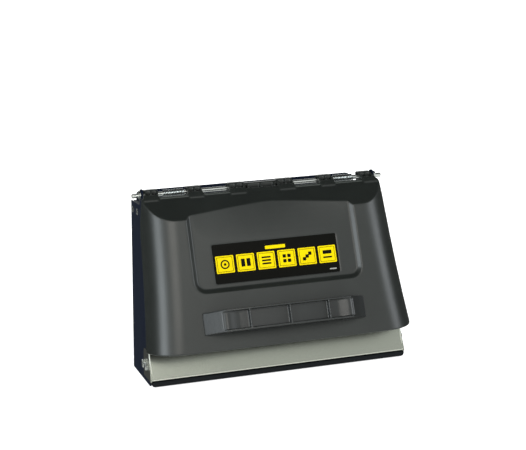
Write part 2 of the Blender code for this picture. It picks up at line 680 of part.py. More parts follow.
def build_cheek(side):
    """One cheek, folded from sheet: a web with the rod's ear, and a flange turned in against the deck."""
    name = "left_cheek" if side < 0 else "right_cheek"
    outward, upward = cheek_axes(side)
    middle = SHEET / 2
    section = sheet_outline([(middle, -0.08), (middle, DUCT_DEPTH - middle),
                             (-FLANGE_WIDTH, DUCT_DEPTH - middle)], SHEET, BEND)
    axes = (outward, Y_AXIS, upward) if side > 0 else (outward, Y_AXIS, -upward)
    levels = (-0.27, 0.02) if side > 0 else (-0.02, 0.27)
    cheek = outline_solid(name, [section], *levels, [tuple(a) for a in axes],
                          HINGE + X_AXIS * side * EAR_INSIDE, DUCT_PAINT)
    silhouette = cheek_solid(name + "_silhouette", [cheek_outline()], side, -0.03, 0.005)
    combine(cheek, silhouette, "INTERSECT")
    floor = [(-0.12, -0.3), (0.12, -0.3), (0.12, -HINGE_HEIGHT), (-0.12, -HINGE_HEIGHT)]
    cut(cheek, side_view_solid(name + "_floor", [floor], -0.25, 0.25))
    relief = [(0.06, FLANGE_TOP), (0.1, FLANGE_TOP), (0.1, 0.0), (0.06, 0.0)]
    cut(cheek, cheek_solid(name + "_relief", [relief], side, -0.04, SEAT_GAP / 2))
    holes = [("rod", on_cheek(side, -0.004, 0.0, 0.0), outward, ROD_RADIUS + ROD_CLEARANCE)]
    for i, y in enumerate(PLATE_BOLT_PLACES):
        holes.append((f"bolt_{i}", on_cheek(side, -0.004, y, PLATE_BOLT_Z), outward,
                      BOLT_RADIUS + HOLE_CLEARANCE))
    for i, y in enumerate(RIVET_PLACES):
        holes.append((f"rivet_{i}", on_cheek(side, -0.004, y, rivet_height()), outward,
                      RIVET_RADIUS + HOLE_CLEARANCE))
    for i, z in enumerate(DECK_HOLE_HEIGHTS):
        start = on_cheek(side, DECK_HOLE_OUT, DUCT_DEPTH - 0.006, z)
        holes.append((f"deck_{i}", start, Y_AXIS, DECK_HOLE))
    for label, start, direction, radius in holes:
        cut(cheek, pin(f"{name}_{label}", radius, start, direction, 0.012, ROD_SIDES))
    return cheek


def rivet_height():
    return CHEEK_TOP - SHEET - 0.009


def roof_half_width(z):
    """Half the width between the cheeks' inner faces at one height, less the seat gap."""
    return EAR_INSIDE - z * math.tan(CHEEK_TILT) - SEAT_GAP / math.cos(CHEEK_TILT)


def build_duct_roof():
    """The roof of the duct, one folded sheet: flanges turned down inside the cheeks and one up at the deck."""
    level = CHEEK_TOP - SHEET / 2 - SEAT_GAP
    low = level - ROOF_SIDE_DROP
    inset = SHEET / 2
    section = sheet_outline([(-roof_half_width(low) + inset, low), (-roof_half_width(level) + inset, level),
                             (roof_half_width(level) - inset, level), (roof_half_width(low) - inset, low)],
                            SHEET, BEND)
    axes = (tuple(X_AXIS), (0, 0, 1), (0, -1, 0))
    roof = outline_solid("duct_roof", [section], -DUCT_DEPTH + SHEET / 2, -ROOF_FRONT, axes, HINGE, DUCT_PAINT)
    flange_half = roof_half_width(level) - 0.006
    bottom = level
    flange = rounded([(-flange_half, bottom), (flange_half, bottom),
                      (flange_half, bottom + ROOF_FLANGE_HEIGHT, 0.006),
                      (-flange_half, bottom + ROOF_FLANGE_HEIGHT, 0.006)], 3)
    join(roof, outline_solid("roof_upstand", [flange], -DUCT_DEPTH, -DUCT_DEPTH + SHEET, axes, HINGE))
    for i, x in enumerate(ROOF_HOLES):
        start = HINGE + Vector((x, DUCT_DEPTH - 0.005, bottom + ROOF_FLANGE_HEIGHT * 0.6))
        cut(roof, pin(f"roof_deck_hole_{i}", DECK_HOLE, start, Y_AXIS, 0.01))
    outward = {side: cheek_axes(side)[0] for side in (-1, 1)}
    for side in (-1, 1):
        for i, y in enumerate(RIVET_PLACES):
            start = on_cheek(side, -0.006, y, rivet_height())
            cut(roof, pin(f"roof_rivet_hole_{side + 1}_{i}", RIVET_RADIUS + HOLE_CLEARANCE, start,
                          outward[side], 0.012, 12))
    return roof


def build_rivets():
    """Four rivets that hold the roof's side flanges to the cheeks."""
    for side, label in ((-1, "left"), (1, "right")):
        outward = cheek_axes(side)[0]
        for i, y in enumerate(RIVET_PLACES):
            inner = -SHEET - 2 * SEAT_GAP
            outer = SHEET + SEAT_GAP
            profile = [(RIVET_HEAD * 0.6, inner - RIVET_HEAD_HEIGHT), (RIVET_HEAD, inner - 0.0003),
                       (RIVET_HEAD, inner), (RIVET_RADIUS, inner), (RIVET_RADIUS, outer), (RIVET_HEAD, outer),
                       (RIVET_HEAD, outer + 0.0003), (RIVET_HEAD * 0.6, outer + RIVET_HEAD_HEIGHT)]
            turned(f"roof_rivet_{label}_{i + 1}", profile, on_cheek(side, 0.0, y, rivet_height()), outward,
                   12, PLATED_STEEL)


def build_deflector_plate():
    """The zinc plate across the duct's foot: folded back at top and bottom, with ears that wrap the cheeks."""
    rise = Vector((FACE_UP.y, FACE_UP.z)) * PLATE_HEIGHT
    half = PLATE / 2
    foot = Vector((PLATE_FOOT_Y, PLATE_FOOT_Z)) + Vector((half, half))
    top = foot + rise
    section = sheet_outline([(foot.x + PLATE_FLANGE, foot.y), tuple(foot), tuple(top),
                             (top.x + PLATE_FLANGE, top.y)], PLATE, PLATE_BEND)
    reach = PLATE_HALF_WIDTH + PLATE_SPARE
    plate = side_view_solid("deflector_plate", [section], -reach, reach, ZINC)
    return_low = SHEET + SEAT_GAP
    for side, label in ((-1, "left"), (1, "right")):
        outward = cheek_axes(side)[0]
        block = [(-BEYOND, -BEYOND), (BEYOND, -BEYOND), (BEYOND, BEYOND), (-BEYOND, BEYOND)]
        cut(plate, cheek_solid(f"plate_end_{label}", [block], side, return_low + PLATE, BEYOND))
        shoulder = [(-BEYOND, PLATE_SHOULDER), (BEYOND, PLATE_SHOULDER), (BEYOND, BEYOND), (-BEYOND, BEYOND)]
        start = min(side * PLATE_NARROW_HALF, side * BEYOND)
        cut(plate, side_view_solid(f"plate_shoulder_{label}", [shoulder], start,
                                   start + BEYOND - PLATE_NARROW_HALF))
        front_top = foot.x + (PLATE_SHOULDER - foot.y) * math.tan(FACE_LEAN)
        wrap = [(foot.x - 0.0002, foot.y - half + 0.0001), (RETURN_BACK, foot.y - half + 0.0001),
                (RETURN_BACK, PLATE_SHOULDER - 0.004), (RETURN_BACK - 0.004, PLATE_SHOULDER - 0.0001),
                (front_top - 0.0002, PLATE_SHOULDER - 0.0001)]
        stretch = 1 / math.cos(CHEEK_TILT)
        wrap = [(y, z * stretch) for y, z in wrap]
        join(plate, cheek_solid(f"plate_return_{label}", [wrap], side, return_low, return_low + PLATE))
        for i, y in enumerate(PLATE_BOLT_PLACES):
            cut(plate, pin(f"plate_bolt_hole_{label}_{i}", BOLT_RADIUS + HOLE_CLEARANCE,
                           on_cheek(side, -0.002, y, PLATE_BOLT_Z), outward, 0.012, 12))
    for i, x in enumerate(LIP_SCREW_PLACES):
        cut(plate, pin(f"plate_lip_hole_{i}", LIP_SCREW_RADIUS + HOLE_CLEARANCE,
                       HINGE + Vector((x, lip_screw_y(), PLATE_FOOT_Z - 0.004)), (0, 0, 1), 0.008, 12))
    return plate


def lip_screw_y():
    return PLATE_FOOT_Y + PLATE_FLANGE * 0.55


def lip_top():
    return PLATE_FOOT_Z - SEAT_GAP


def build_lip():
    """The rubber lip under the plate's lower fold, with sunk seats for its screws."""
    half = PLATE_HALF_WIDTH - 0.0012
    top, foot = lip_top(), lip_top() - LIP_HEIGHT
    outline = rounded([(-half, top), (-half, foot, LIP_CORNER), (half, foot, LIP_CORNER), (half, top)])
    front = PLATE_FOOT_Y + 0.0004
    lip = outline_solid("rubber_lip", [outline], -front - LIP_DEPTH, -front, FRONT_VIEW, HINGE, RUBBER)
    for i, x in enumerate(LIP_SCREW_PLACES):
        start = HINGE + Vector((x, lip_screw_y(), foot - 0.001))
        seat = LIP_SCREW_HEAD + HOLE_CLEARANCE
        profile = [(seat, 0.0), (seat, 0.001 + LIP_SCREW_HEAD_HEIGHT + SEAT_GAP),
                   (LIP_SCREW_RADIUS + HOLE_CLEARANCE, 0.001 + LIP_SCREW_HEAD_HEIGHT + SEAT_GAP),
                   (LIP_SCREW_RADIUS + HOLE_CLEARANCE, 0.012)]
        cut(lip, turned(f"lip_seat_{i}", profile, start, (0, 0, 1), 12))
    return lip


def build_lip_screws():
    foot = lip_top() - LIP_HEIGHT
    length = LIP_HEIGHT + SEAT_GAP + PLATE + LIP_SCREW_SPARE
    for i, x in enumerate(LIP_SCREW_PLACES):
        start = HINGE + Vector((x, lip_screw_y(), foot + 0.0002))
        profile = [(LIP_SCREW_HEAD * 0.8, 0.0), (LIP_SCREW_HEAD, 0.0006), (LIP_SCREW_HEAD, 0.0018),
                   (LIP_SCREW_RADIUS, 0.0018), (LIP_SCREW_RADIUS, length - 0.001), (0.0008, length)]
        turned(f"lip_screw_{i + 1}", profile, start, (0, 0, 1), 12, PLATED_STEEL)


def build_plate_bolts():
    """Bolts through the plate's returns and the cheeks, with the heads outside and the nuts in the duct."""
    for side, label in ((-1, "left"), (1, "right")):
        outward = cheek_axes(side)[0]
        head = SHEET + SEAT_GAP + PLATE + SEAT_GAP
        nut = -SEAT_GAP
        end = nut - NUT_HEIGHT - BOLT_SPARE
        for i, y in enumerate(PLATE_BOLT_PLACES):
            place = on_cheek(side, 0.0, y, PLATE_BOLT_Z)
            bolt = turned(f"plate_bolt_{label}_{i + 1}",
                          [(BOLT_RADIUS * 0.8, end), (BOLT_RADIUS, end + 0.0008), (BOLT_RADIUS, head),
                           (BOLT_RADIUS, head + 0.001)], place, outward, 12, PLATED_STEEL)
            join(bolt, turned(f"bolt_head_{label}_{i}",
                              [(BOLT_HEX, head), (BOLT_HEX, head + BOLT_HEAD_HEIGHT * 0.8),
                               (BOLT_HEX * 0.86, head + BOLT_HEAD_HEIGHT)], place, outward, 6))
            nut_solid = turned(f"plate_nut_{label}_{i + 1}",
                               [(BOLT_HEX * 0.88, nut - NUT_HEIGHT), (BOLT_HEX, nut - NUT_HEIGHT + 0.0008),
                                (BOLT_HEX, nut)], place, outward, 6, PLATED_STEEL)
            cut(nut_solid, pin(f"nut_bore_{label}_{i}", BOLT_RADIUS + SEAT_GAP,
                               place + outward * (nut - NUT_HEIGHT - 0.001), outward, NUT_HEIGHT + 0.002, 12))


def build_rod():
    end = ROD_HALF_LENGTH
    profile = [(ROD_RADIUS * 0.72, -end), (ROD_RADIUS, -end + 0.0009), (ROD_RADIUS, end - 0.0009),
               (ROD_RADIUS * 0.72, end)]
    return turned("hinge_rod", profile, HINGE, X_AXIS, ROD_SIDES, PLATED_STEEL)


def build_rod_washers_and_clips():
    """On each side a washer and a spring clip outside the ear."""
    outside = EAR_INSIDE + SHEET / math.cos(CHEEK_TILT) + EAR_RADIUS * math.tan(CHEEK_TILT)
    for side, label in ((-1, "left"), (1, "right")):
        near = outside + SEAT_GAP
        levels = sorted((side * near, side * (near + WASHER_THICKNESS)))
        ring = [circle(WASHER_RADIUS, 20), circle(ROD_RADIUS + ROD_CLEARANCE, ROD_SIDES)]
        side_view_solid(f"rod_washer_{label}", ring, *levels, PLATED_STEEL)
        near += WASHER_THICKNESS + SEAT_GAP
        levels = sorted((side * near, side * (near + CLIP_THICKNESS)))
        start = -math.pi / 2 + CLIP_GAP_ANGLE / 2
        sweep = math.tau - CLIP_GAP_ANGLE
        outer = circle(CLIP_RADIUS, 16, (0.0, 0.0), start, sweep)
        inner = circle(ROD_RADIUS + SEAT_GAP, 16, (0.0, 0.0), start + sweep, -sweep)
        side_view_solid(f"rod_clip_{label}", [outer + inner], *levels, PLATED_STEEL)


def spring_route(side):
    """Middle line of one torsion spring: a leg in the end knuckle, the coil, and a leg on the duct's roof."""
    leg_y, leg_z = LEG_HOLE
    wall = KNUCKLES[-1][0] + POCKET_WALL
    start = math.pi
    points = [(wall + LEG_INTO_KNUCKLE, leg_y, leg_z), (COIL_OUTER_END + 0.003, leg_y, leg_z),
              (COIL_OUTER_END + 0.001, leg_y + 0.0012, leg_z)]
    last = math.radians(-115)
    total = math.tau * COIL_TURNS + (last - start)
    steps = COIL_TURNS * COIL_STEPS
    for i in range(steps + 1):
        share = i / steps
        angle = start + total * share
        x = COIL_OUTER_END + (COIL_INNER_END - COIL_OUTER_END) * share
        points.append((x, COIL_RADIUS * math.cos(angle), COIL_RADIUS * math.sin(angle)))
    _, y, z = points[-1]
    rest = CHEEK_TOP - SEAT_GAP + WIRE_RADIUS + SEAT_GAP
    bend = (COIL_INNER_END - 0.0006, y + FIXED_LEG_LENGTH * 0.55, rest + 0.0004)
    points += [bend, (COIL_INNER_END - 0.0006, y + FIXED_LEG_LENGTH, rest + 0.0002)]
    return [HINGE + Vector((side * x, y, z)) for x, y, z in points]


def wire(name, points, radius, finish):
    """A wire along a route, made one welded mesh."""
    data = bpy.data.curves.new(name, "CURVE")
    data.dimensions = "3D"
    data.bevel_depth = radius
    data.bevel_resolution = 1
    data.use_fill_caps = True
    spline = data.splines.new("POLY")
    spline.points.add(len(points) - 1)
    for point, place in zip(spline.points, points):
        point.co = (*place, 1)
    guide = bpy.data.objects.new(name + "_route", data)
    CUTTERS.objects.link(guide)
    bpy.context.view_layer.update()
    mesh = bpy.data.meshes.new_from_object(guide.evaluated_get(bpy.context.evaluated_depsgraph_get()))
    bpy.data.objects.remove(guide, do_unlink=True)
    shape = bmesh.new()
    shape.from_mesh(mesh)
    bpy.data.meshes.remove(mesh)
    bmesh.ops.remove_doubles(shape, verts=shape.verts, dist=1e-6)
    return from_bmesh(name, shape, finish)


def hang_on_hinge(names):
    """Puts the moving pieces under an empty on the joint's axis."""
    axis = bpy.data.objects.new("cover_hinge_axis", None)
    axis.location = HINGE
    PARTS.objects.link(axis)
    bpy.context.view_layer.update()
    for name in names:
        piece = bpy.data.objects[name]
        piece.parent = axis
        piece.matrix_parent_inverse = axis.matrix_world.inverted()


def main():
    build_cover()
    build_label()
    build_handle()
    build_handle_screws()
    for side in (-1, 1):
        build_cheek(side)
    build_duct_roof()
    build_rivets()
    build_deflector_plate()
    build_lip()
    build_lip_screws()
    build_plate_bolts()
    build_rod()
    build_rod_washers_and_clips()
    for side, label in ((-1, "left"), (1, "right")):
        wire(f"torsion_spring_{label}", spring_route(side), WIRE_RADIUS, SPRING_STEEL)
    hang_on_hinge(["cover", "label_plate", "pull_handle"] + [f"handle_screw_{i}" for i in (1, 2, 3, 4)])


main()
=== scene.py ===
"""Looks of a rear discharge chute: moulded cover, hinge, springs, zinc plate, rubber lip and steel duct."""

import json
import math

import bmesh
import bpy
import numpy as np
from bpy.props import FloatProperty, FloatVectorProperty, IntProperty, PointerProperty
from mathutils import Matrix, Vector
from mathutils.geometry import interpolate_bezier


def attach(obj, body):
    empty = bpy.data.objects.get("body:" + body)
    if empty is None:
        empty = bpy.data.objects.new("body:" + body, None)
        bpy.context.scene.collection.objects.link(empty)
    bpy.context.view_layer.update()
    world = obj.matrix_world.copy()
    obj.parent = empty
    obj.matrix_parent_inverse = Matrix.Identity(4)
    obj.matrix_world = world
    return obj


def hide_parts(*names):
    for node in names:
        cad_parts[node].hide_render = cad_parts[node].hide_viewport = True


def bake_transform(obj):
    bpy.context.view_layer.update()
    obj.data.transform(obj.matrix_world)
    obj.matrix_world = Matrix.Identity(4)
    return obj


bl_info = {
    "name": "Rear discharge chute",
    "version": (1, 0, 0),
    "blender": (4, 5, 0),
    "location": "3D View > Sidebar > Discharge chute",
    "description": "Finishes of a lawn mower's rear discharge chute with its sprung cover",
    "category": "Object",
}

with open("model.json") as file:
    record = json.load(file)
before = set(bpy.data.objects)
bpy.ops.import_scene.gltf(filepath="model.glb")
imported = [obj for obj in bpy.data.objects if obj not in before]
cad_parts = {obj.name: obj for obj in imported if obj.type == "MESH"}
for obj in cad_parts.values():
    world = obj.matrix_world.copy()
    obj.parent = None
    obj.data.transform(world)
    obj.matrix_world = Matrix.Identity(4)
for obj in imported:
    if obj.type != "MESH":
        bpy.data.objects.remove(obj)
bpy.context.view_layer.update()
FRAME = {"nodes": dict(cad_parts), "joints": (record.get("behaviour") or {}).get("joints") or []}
NODES = FRAME["nodes"]
HINGE = Vector(FRAME["joints"][0]["pos_m"])

IMAGE_SIZE = (526, 450)
SENSOR_WIDTH = 36.0
FOCAL_PIXELS = 1317.3
CAMERA_FROM_HINGE = Vector((-0.4833, -1.7303, 0.2165))
CAMERA_YAW, CAMERA_PITCH, CAMERA_ROLL = (math.radians(a) for a in (15.68, 8.61, -3.12))
CAMERA_CLIP = (0.05, 30.0)

# Lights: name, setting, azimuth and elevation in degrees, size and colour
MIDDLE = Vector((0.0, 0.0, 0.15))
LIGHT_DISTANCE = 2.5
LIGHTS = (("Front light", "front", -10, 29, (1.1, 0.8), (1.0, 0.97, 0.91)),
          ("Left light", "left", -59, 15, (0.95, 1.0), (0.88, 0.96, 1.0)),
          ("Right light", "right", 60, 18, (0.9, 1.0), (0.90, 0.95, 1.0)))

# Studio round the part, as ranges of a direction's X, Y or Z over which one zone gives way to the next
STUDIO_COLOUR = (0.97, 1.0, 0.98, 1)
WALLS_TO_SIDES, SIDES_TO_REAR = (-0.50, -0.20), (0.55, 0.80)
REAR_FADE, HORIZON = (0.25, 0.50), (0.0, 0.15)
OVERHEAD, UNDERFOOT = (0.55, 0.93), (-0.6, -0.3)
BACKGROUND_STRENGTH = 1.3

# Backdrop: reach in front and behind, bend, height and half width
SWEEP_FRONT, SWEEP_DEPTH, SWEEP_RADIUS, SWEEP_HEIGHT, SWEEP_HALF = -4.0, 1.6, 0.8, 3.0, 4.0
SWEEP_STEPS = 12

DUCT_NODES = ("left_cheek", "right_cheek", "duct_roof")
SPRING_NODES = {-1: "torsion_spring_left", 1: "torsion_spring_right"}

# The cover's face and label, from the hinge
FACE_LEAN = math.radians(17.3)
FACE_UP = Vector((0, math.sin(FACE_LEAN), math.cos(FACE_LEAN)))
FACE_OUT = Vector((0, -math.cos(FACE_LEAN), math.sin(FACE_LEAN)))
BROW = Vector((0, -0.0525, -0.031))
COVER_HALF_WIDTH, COVER_FLARE, COVER_HEIGHT, COVER_CORNER = 0.166, 0.013, 0.1995, 0.038
FLARE_POWER = 1.6
CORNER_GROWTH = ((0, 0), (26.5, 0.24), (42.5, 0.40), (61.7, 0.60), (71.6, 0.73), (82.8, 0.99), (90, 1.0))
SIDE_EASE = ((0.034, 1.0), (0.040, 0.70), (0.046, 0.45), (0.053, 0.18), (0.060, 0.1))
SIDE_FADE = (-0.022, -0.008)
COVER_PASSES, HANDLE_PASSES = 7, 5
PANEL_DEPTH = 0.0045
LABEL_OUT = -PANEL_DEPTH - 0.00004
PRINT_THICKNESS = 0.00012
FIELD_SPAN, FIELD_MIDDLE, FIELD_CORNER = 0.1672, 0.0633, 0.0012
HEADING_BAR, HEADING_DOWN = (0.028, 0.0045, 0.0008), 0.0462
NOTE_BAR, NOTE_PLACE = (0.0095, 0.0016, 0.0004), (0.0770, 0.0838)
MARK_INSET, MARK_LINE, MARK_CORNERS = 0.0017, 0.0005, (0.0009, 0.0007)
RING_RADII, DISC_RADIUS = (0.0062, 0.0044), 0.0018
BAR, THICK_BAR = (0.0125, 0.0022, 0.0006), (0.0125, 0.0050, 0.0009)
TALL_BAR, BLOCK = (0.0052, 0.0105, 0.0008), (0.0046, 0.0046, 0.0008)

# Bead along the roof's edge, and the flanges of the cheeks, from the hinge
WINDOWS = ((0.0457, 0.0832), (0.1028, 0.1430))
ROLL_PLACE, ROLL_RADIUS = (-0.0167, -0.00483), 0.0024
BACK_EDGE = ((-0.0155, -0.002), (-0.0480, -0.1995))
FLANGE_TOP, FLANGE_FOOT, FLANGE_INSET = -0.0095, -0.192, 0.0034
FLANGE_SHEET, FLANGE_REACH, FLANGE_TURN = 0.0012, 0.009, 0.006
FLANGE_ROWS, FLANGE_STEP = 16, 0.0003
CHEEK_INSIDE, CHEEK_LEAN, CHEEK_OVERLAP = 0.1634, 0.0529, 0.0006

# Rolled edges of the deflector plate, from the hinge
HEM_HALF, HEM_RADIUS = 0.1773, 0.0013
HEM_TOP, HEM_FOOT = (-0.0482, -0.203), (-0.0590, -0.2394)

# Fairings that carry the handle's ramps over into its web, as distance across and rise from the face
FAIRING_CREST = ((-0.0935, 0.0168), (-0.0893, 0.0207), (-0.0868, 0.0226), (-0.0835, 0.0226))
FAIRING_FALL = ((-0.0835, 0.0226), (-0.0785, 0.0226), (-0.0725, 0.01925), (-0.064, 0.0197))
FAIRING_UNDER = ((-0.064, 0.0180), (-0.075, 0.0150), (-0.0935, 0.0125))
FAIRING_SPAN = (0.1274, 0.1516)

# Hinge rod and torsion springs, from the hinge
ROD_REACH, ROD_RADIUS, ROD_CHAMFER = 0.1776, 0.003, 0.0005
WIRE_RADIUS = 0.00075
COIL_RADIUS = 0.0045
COIL_INNER_END, COIL_OUTER_END = 0.1065, 0.1352
COIL_TURNS, COIL_STEPS = 14, 24
COIL_FIRST, COIL_LAST = math.pi, math.radians(-115)
LEG_Y, LEG_Z = -0.0085, -0.0005
LEG_REACH = 0.1495
LEG_BEND = ((0.003, 0.0), (0.0015, 0.0007), (0.0006, 0.002))
FIXED_LEG_PAST, FIXED_LEG_LENGTH = 0.0006, 0.020
FIXED_LEG_REST = -0.014 + WIRE_RADIUS
FIXED_LEG_LIFT = ((0.2, 0.0022), (0.55, 0.0004), (1.0, 0.0002))

# Finishes: how far dust lightens the plastic, how far a painted highlight lightens its edges, and the
# pointiness and polish of those edges
DUSTY, EDGE_HIGHLIGHT, SHADED, FILM_DUST = 1.25, 2.2, 0.82, 0.9
EDGE_HIGHLIGHT_POINTINESS, EDGE_POLISH = (0.51, 0.58), -0.08


def colour_property(name, description, default):
    return FloatVectorProperty(name=name, description=description, default=default, size=3, subtype="COLOR",
                               min=0.0, max=1.0)


def length_property(name, description, default):
    return FloatProperty(name=name, description=description, default=default, unit="LENGTH")


def strength_property(name, description, default):
    return FloatProperty(name=name, description=description, default=default, min=0.0)


class PlasticSettings(bpy.types.PropertyGroup):
    colour: colour_property("Cover colour", "Colour of the moulded cover", (0.0120, 0.0142, 0.0128))
    handle_colour: colour_property("Handle colour", "Colour of the pull handle", (0.0115, 0.0130, 0.0128))
    roughness: FloatProperty(name="Cover roughness", description="How dull the moulded cover is",
                             default=0.36, min=0.0, max=1.0, subtype="FACTOR")
    side_fullness: length_property("Side fullness", "How far the sides swell past the corners", 0.0064)
    cell: length_property("Cover mesh cell", "Size of the cells that round the cover's edges", 0.0009)
    handle_cell: length_property("Handle mesh cell", "Size of the cells that round the handle", 0.0006)


class LabelSettings(bpy.types.PropertyGroup):
    film: colour_property("Label film", "Colour of the label's ground", (0.003, 0.003, 0.0022))
    field: colour_property("Label fields", "Colour of the label's plain fields", (0.78, 0.60, 0.0))
    note: colour_property("Label note", "Colour of the small bar in the label's corner", (0.35, 0.35, 0.33))
    fields: IntProperty(name="Fields", description="Number of square fields on the label", default=6,
                        min=1, max=8)
    field_width: length_property("Field width", "Width of one field", 0.0246)
    field_height: length_property("Field height", "Height of one field", 0.0232)


class MetalSettings(bpy.types.PropertyGroup):
    zinc: colour_property("Zinc", "Colour of the deflector plate", (0.36, 0.375, 0.325))
    # Lighter than the zinc: a painted highlight on the plate's rolled edges.
    edge: colour_property("Zinc edge highlight", "Colour of the plate's rolled edges", (0.62, 0.63, 0.56))
    plated: colour_property("Plated steel", "Colour of rod, screws and clips", (0.66, 0.68, 0.66))
    spring: colour_property("Spring steel", "Colour of the torsion springs", (0.50, 0.53, 0.53))
    paint: colour_property("Duct paint", "Colour of the folded duct", (0.0032, 0.0068, 0.0175))
    rubber: colour_property("Rubber", "Colour of the lip", (0.004, 0.0045, 0.005))


class StageSettings(bpy.types.PropertyGroup):
    floor: colour_property("Floor", "Colour of the floor and backdrop", (0.92, 0.92, 0.92))
    glow: strength_property("Sweep glow", "How much the lit sweep shines", 0.75)
    front: strength_property("Front light", "Brightness of the front light", 5.4)
    left: strength_property("Left light", "Brightness of the left light", 8.9)
    right: strength_property("Right light", "Brightness of the right light", 5.2)
    walls: strength_property("Walls", "Brightness of the pale walls in front", 0.85)
    sides: strength_property("Sides", "Brightness of the dark screens beside the part", 0.04)
    rear: strength_property("Rear", "Brightness of the wall behind the part", 0.9)
    bounce: strength_property("Floor bounce", "Light that the floor throws back", 0.6)
    ceiling: strength_property("Ceiling", "Brightness of the studio's ceiling", 0.05)


def settings(group):
    return getattr(bpy.context.scene, f"chute_{group}")


# Shader nodes and finishes


def new_material(name):
    made = bpy.data.materials.new(name)
    made.use_nodes = True
    made.node_tree.nodes.clear()
    output = made.node_tree.nodes.new("ShaderNodeOutputMaterial")
    shader = made.node_tree.nodes.new("ShaderNodeBsdfPrincipled")
    made.node_tree.links.new(shader.outputs["BSDF"], output.inputs["Surface"])
    return made, made.node_tree, shader


def add_node(tree, kind, values=(), **settings_of_node):
    """A node with its settings, and its inputs set or linked by name or index."""
    node = tree.nodes.new("ShaderNode" + kind)
    for key, value in settings_of_node.items():
        setattr(node, key, value)
    for key, value in dict(values).items():
        if isinstance(value, bpy.types.NodeSocket):
            tree.links.new(value, node.inputs[key])
        else:
            node.inputs[key].default_value = value
    return node


def add_surface(tree, grain_size, roughness, variation):
    """The moulded grain's group with its three inputs."""
    return add_node(tree, "Group", {"Grain size": grain_size, "Roughness": roughness, "Variation": variation},
                    node_tree=grain())


def paler(colour, factor):
    """A colour with four parts, made lighter or darker."""
    return (*[c * factor for c in colour], 1)


def mix_colours(tree, factor, first, second):
    """A blend of two colours, each of them a value or a socket."""
    node = add_node(tree, "Mix", {"Factor": factor, "A": first, "B": second}, data_type="RGBA")
    return node.outputs["Result"]


def math_node(tree, operation, *values):
    """The result of one sum, with values or sockets as its inputs."""
    return add_node(tree, "Math", enumerate(values), operation=operation).outputs[0]


def smooth_range(tree, value, given, wanted):
    """A value eased from one range to another."""
    node = add_node(tree, "MapRange", {"Value": value, "From Min": given[0], "From Max": given[1],
                                       "To Min": wanted[0], "To Max": wanted[1]},
                    interpolation_type="SMOOTHSTEP")
    return node.outputs["Result"]


def new_group(name, inputs, outputs):
    """A shader node group with named float or colour sockets."""
    group = bpy.data.node_groups.new(name, "ShaderNodeTree")
    for label, kind, value in inputs:
        socket = group.interface.new_socket(label, in_out="INPUT", socket_type=kind)
        socket.default_value = value
    for label, kind in outputs:
        group.interface.new_socket(label, in_out="OUTPUT", socket_type=kind)
    return group, group.nodes.new("NodeGroupInput"), group.nodes.new("NodeGroupOutput")


def moulded_grain_group():
    """Fine even grain of moulded plastic, with faint large waves and dust."""
    group, given, out = new_group(
        "Moulded grain",
        [("Grain size", "NodeSocketFloat", 900.0), ("Roughness", "NodeSocketFloat", 0.4),
         ("Variation", "NodeSocketFloat", 0.05)],
        [("Height", "NodeSocketFloat"), ("Roughness", "NodeSocketFloat"), ("Dust", "NodeSocketFloat")])
    place = add_node(group, "TexCoord")
    fine = add_node(group, "TexNoise", {"Vector": place.outputs["Object"], "Detail": 3.0, "Roughness": 0.6,
                                        "Scale": given.outputs["Grain size"]})
    broad = add_node(group, "TexNoise", {"Vector": place.outputs["Object"], "Scale": 18.0, "Detail": 4.0})
    swing = math_node(group, "SUBTRACT", broad.outputs["Fac"], 0.5)
    swing = math_node(group, "MULTIPLY", swing, given.outputs["Variation"])
    rough = math_node(group, "ADD", given.outputs["Roughness"], swing)
    dust = add_node(group, "MapRange", {"Value": broad.outputs["Fac"], "From Min": 0.45, "From Max": 0.8})
    group.links.new(fine.outputs["Fac"], out.inputs["Height"])
    group.links.new(rough, out.inputs["Roughness"])
    group.links.new(dust.outputs["Result"], out.inputs["Dust"])
    return group


def grain():
    return bpy.data.node_groups.get("Moulded grain") or moulded_grain_group()


def add_bump(tree, shader, surface, strength, distance):
    bump = add_node(tree, "Bump", {"Strength": strength, "Distance": distance,
                                   "Height": surface.outputs["Height"]})
    tree.links.new(bump.outputs["Normal"], shader.inputs["Normal"])


def plastic_material(name, colour, roughness, gloss=0.5):
    made, tree, shader = new_material(name)
    surface = add_surface(tree, grain_size=1400.0, roughness=roughness, variation=0.10)
    tint = mix_colours(tree, surface.outputs["Dust"], paler(colour, 1.0), paler(colour, DUSTY))
    # Convex edges, picked out by pointiness, get a lighter colour: a painted highlight along the rims. The
    # same mask lowers their roughness.
    shape = add_node(tree, "NewGeometry")
    edge = add_node(tree, "MapRange", {"Value": shape.outputs["Pointiness"], "From Min": EDGE_HIGHLIGHT_POINTINESS[0],
                                       "From Max": EDGE_HIGHLIGHT_POINTINESS[1]})
    edge_highlight = mix_colours(tree, edge.outputs["Result"], tint, paler(colour, EDGE_HIGHLIGHT))
    tree.links.new(edge_highlight, shader.inputs["Base Color"])
    polish = math_node(tree, "MULTIPLY_ADD", edge.outputs["Result"], EDGE_POLISH,
                       surface.outputs["Roughness"])
    tree.links.new(polish, shader.inputs["Roughness"])
    add_bump(tree, shader, surface, strength=0.08, distance=0.0002)
    shader.inputs["IOR"].default_value = 1.5
    shader.inputs["Specular IOR Level"].default_value = gloss
    return made


def metal_material(name, colour, roughness, grain_size=900.0, variation=0.1):
    made, tree, shader = new_material(name)
    surface = add_surface(tree, grain_size, roughness, variation)
    tint = mix_colours(tree, surface.outputs["Height"], paler(colour, SHADED), paler(colour, 1.0))
    tree.links.new(tint, shader.inputs["Base Color"])
    tree.links.new(surface.outputs["Roughness"], shader.inputs["Roughness"])
    shader.inputs["Metallic"].default_value = 1.0
    return made


def paint_material(name, colour, roughness):
    made, tree, shader = new_material(name)
    surface = add_surface(tree, grain_size=500.0, roughness=roughness, variation=0.08)
    shader.inputs["Base Color"].default_value = (*colour, 1)
    tree.links.new(surface.outputs["Roughness"], shader.inputs["Roughness"])
    add_bump(tree, shader, surface, strength=0.1, distance=0.0003)
    shader.inputs["Specular IOR Level"].default_value = 0.12
    return made


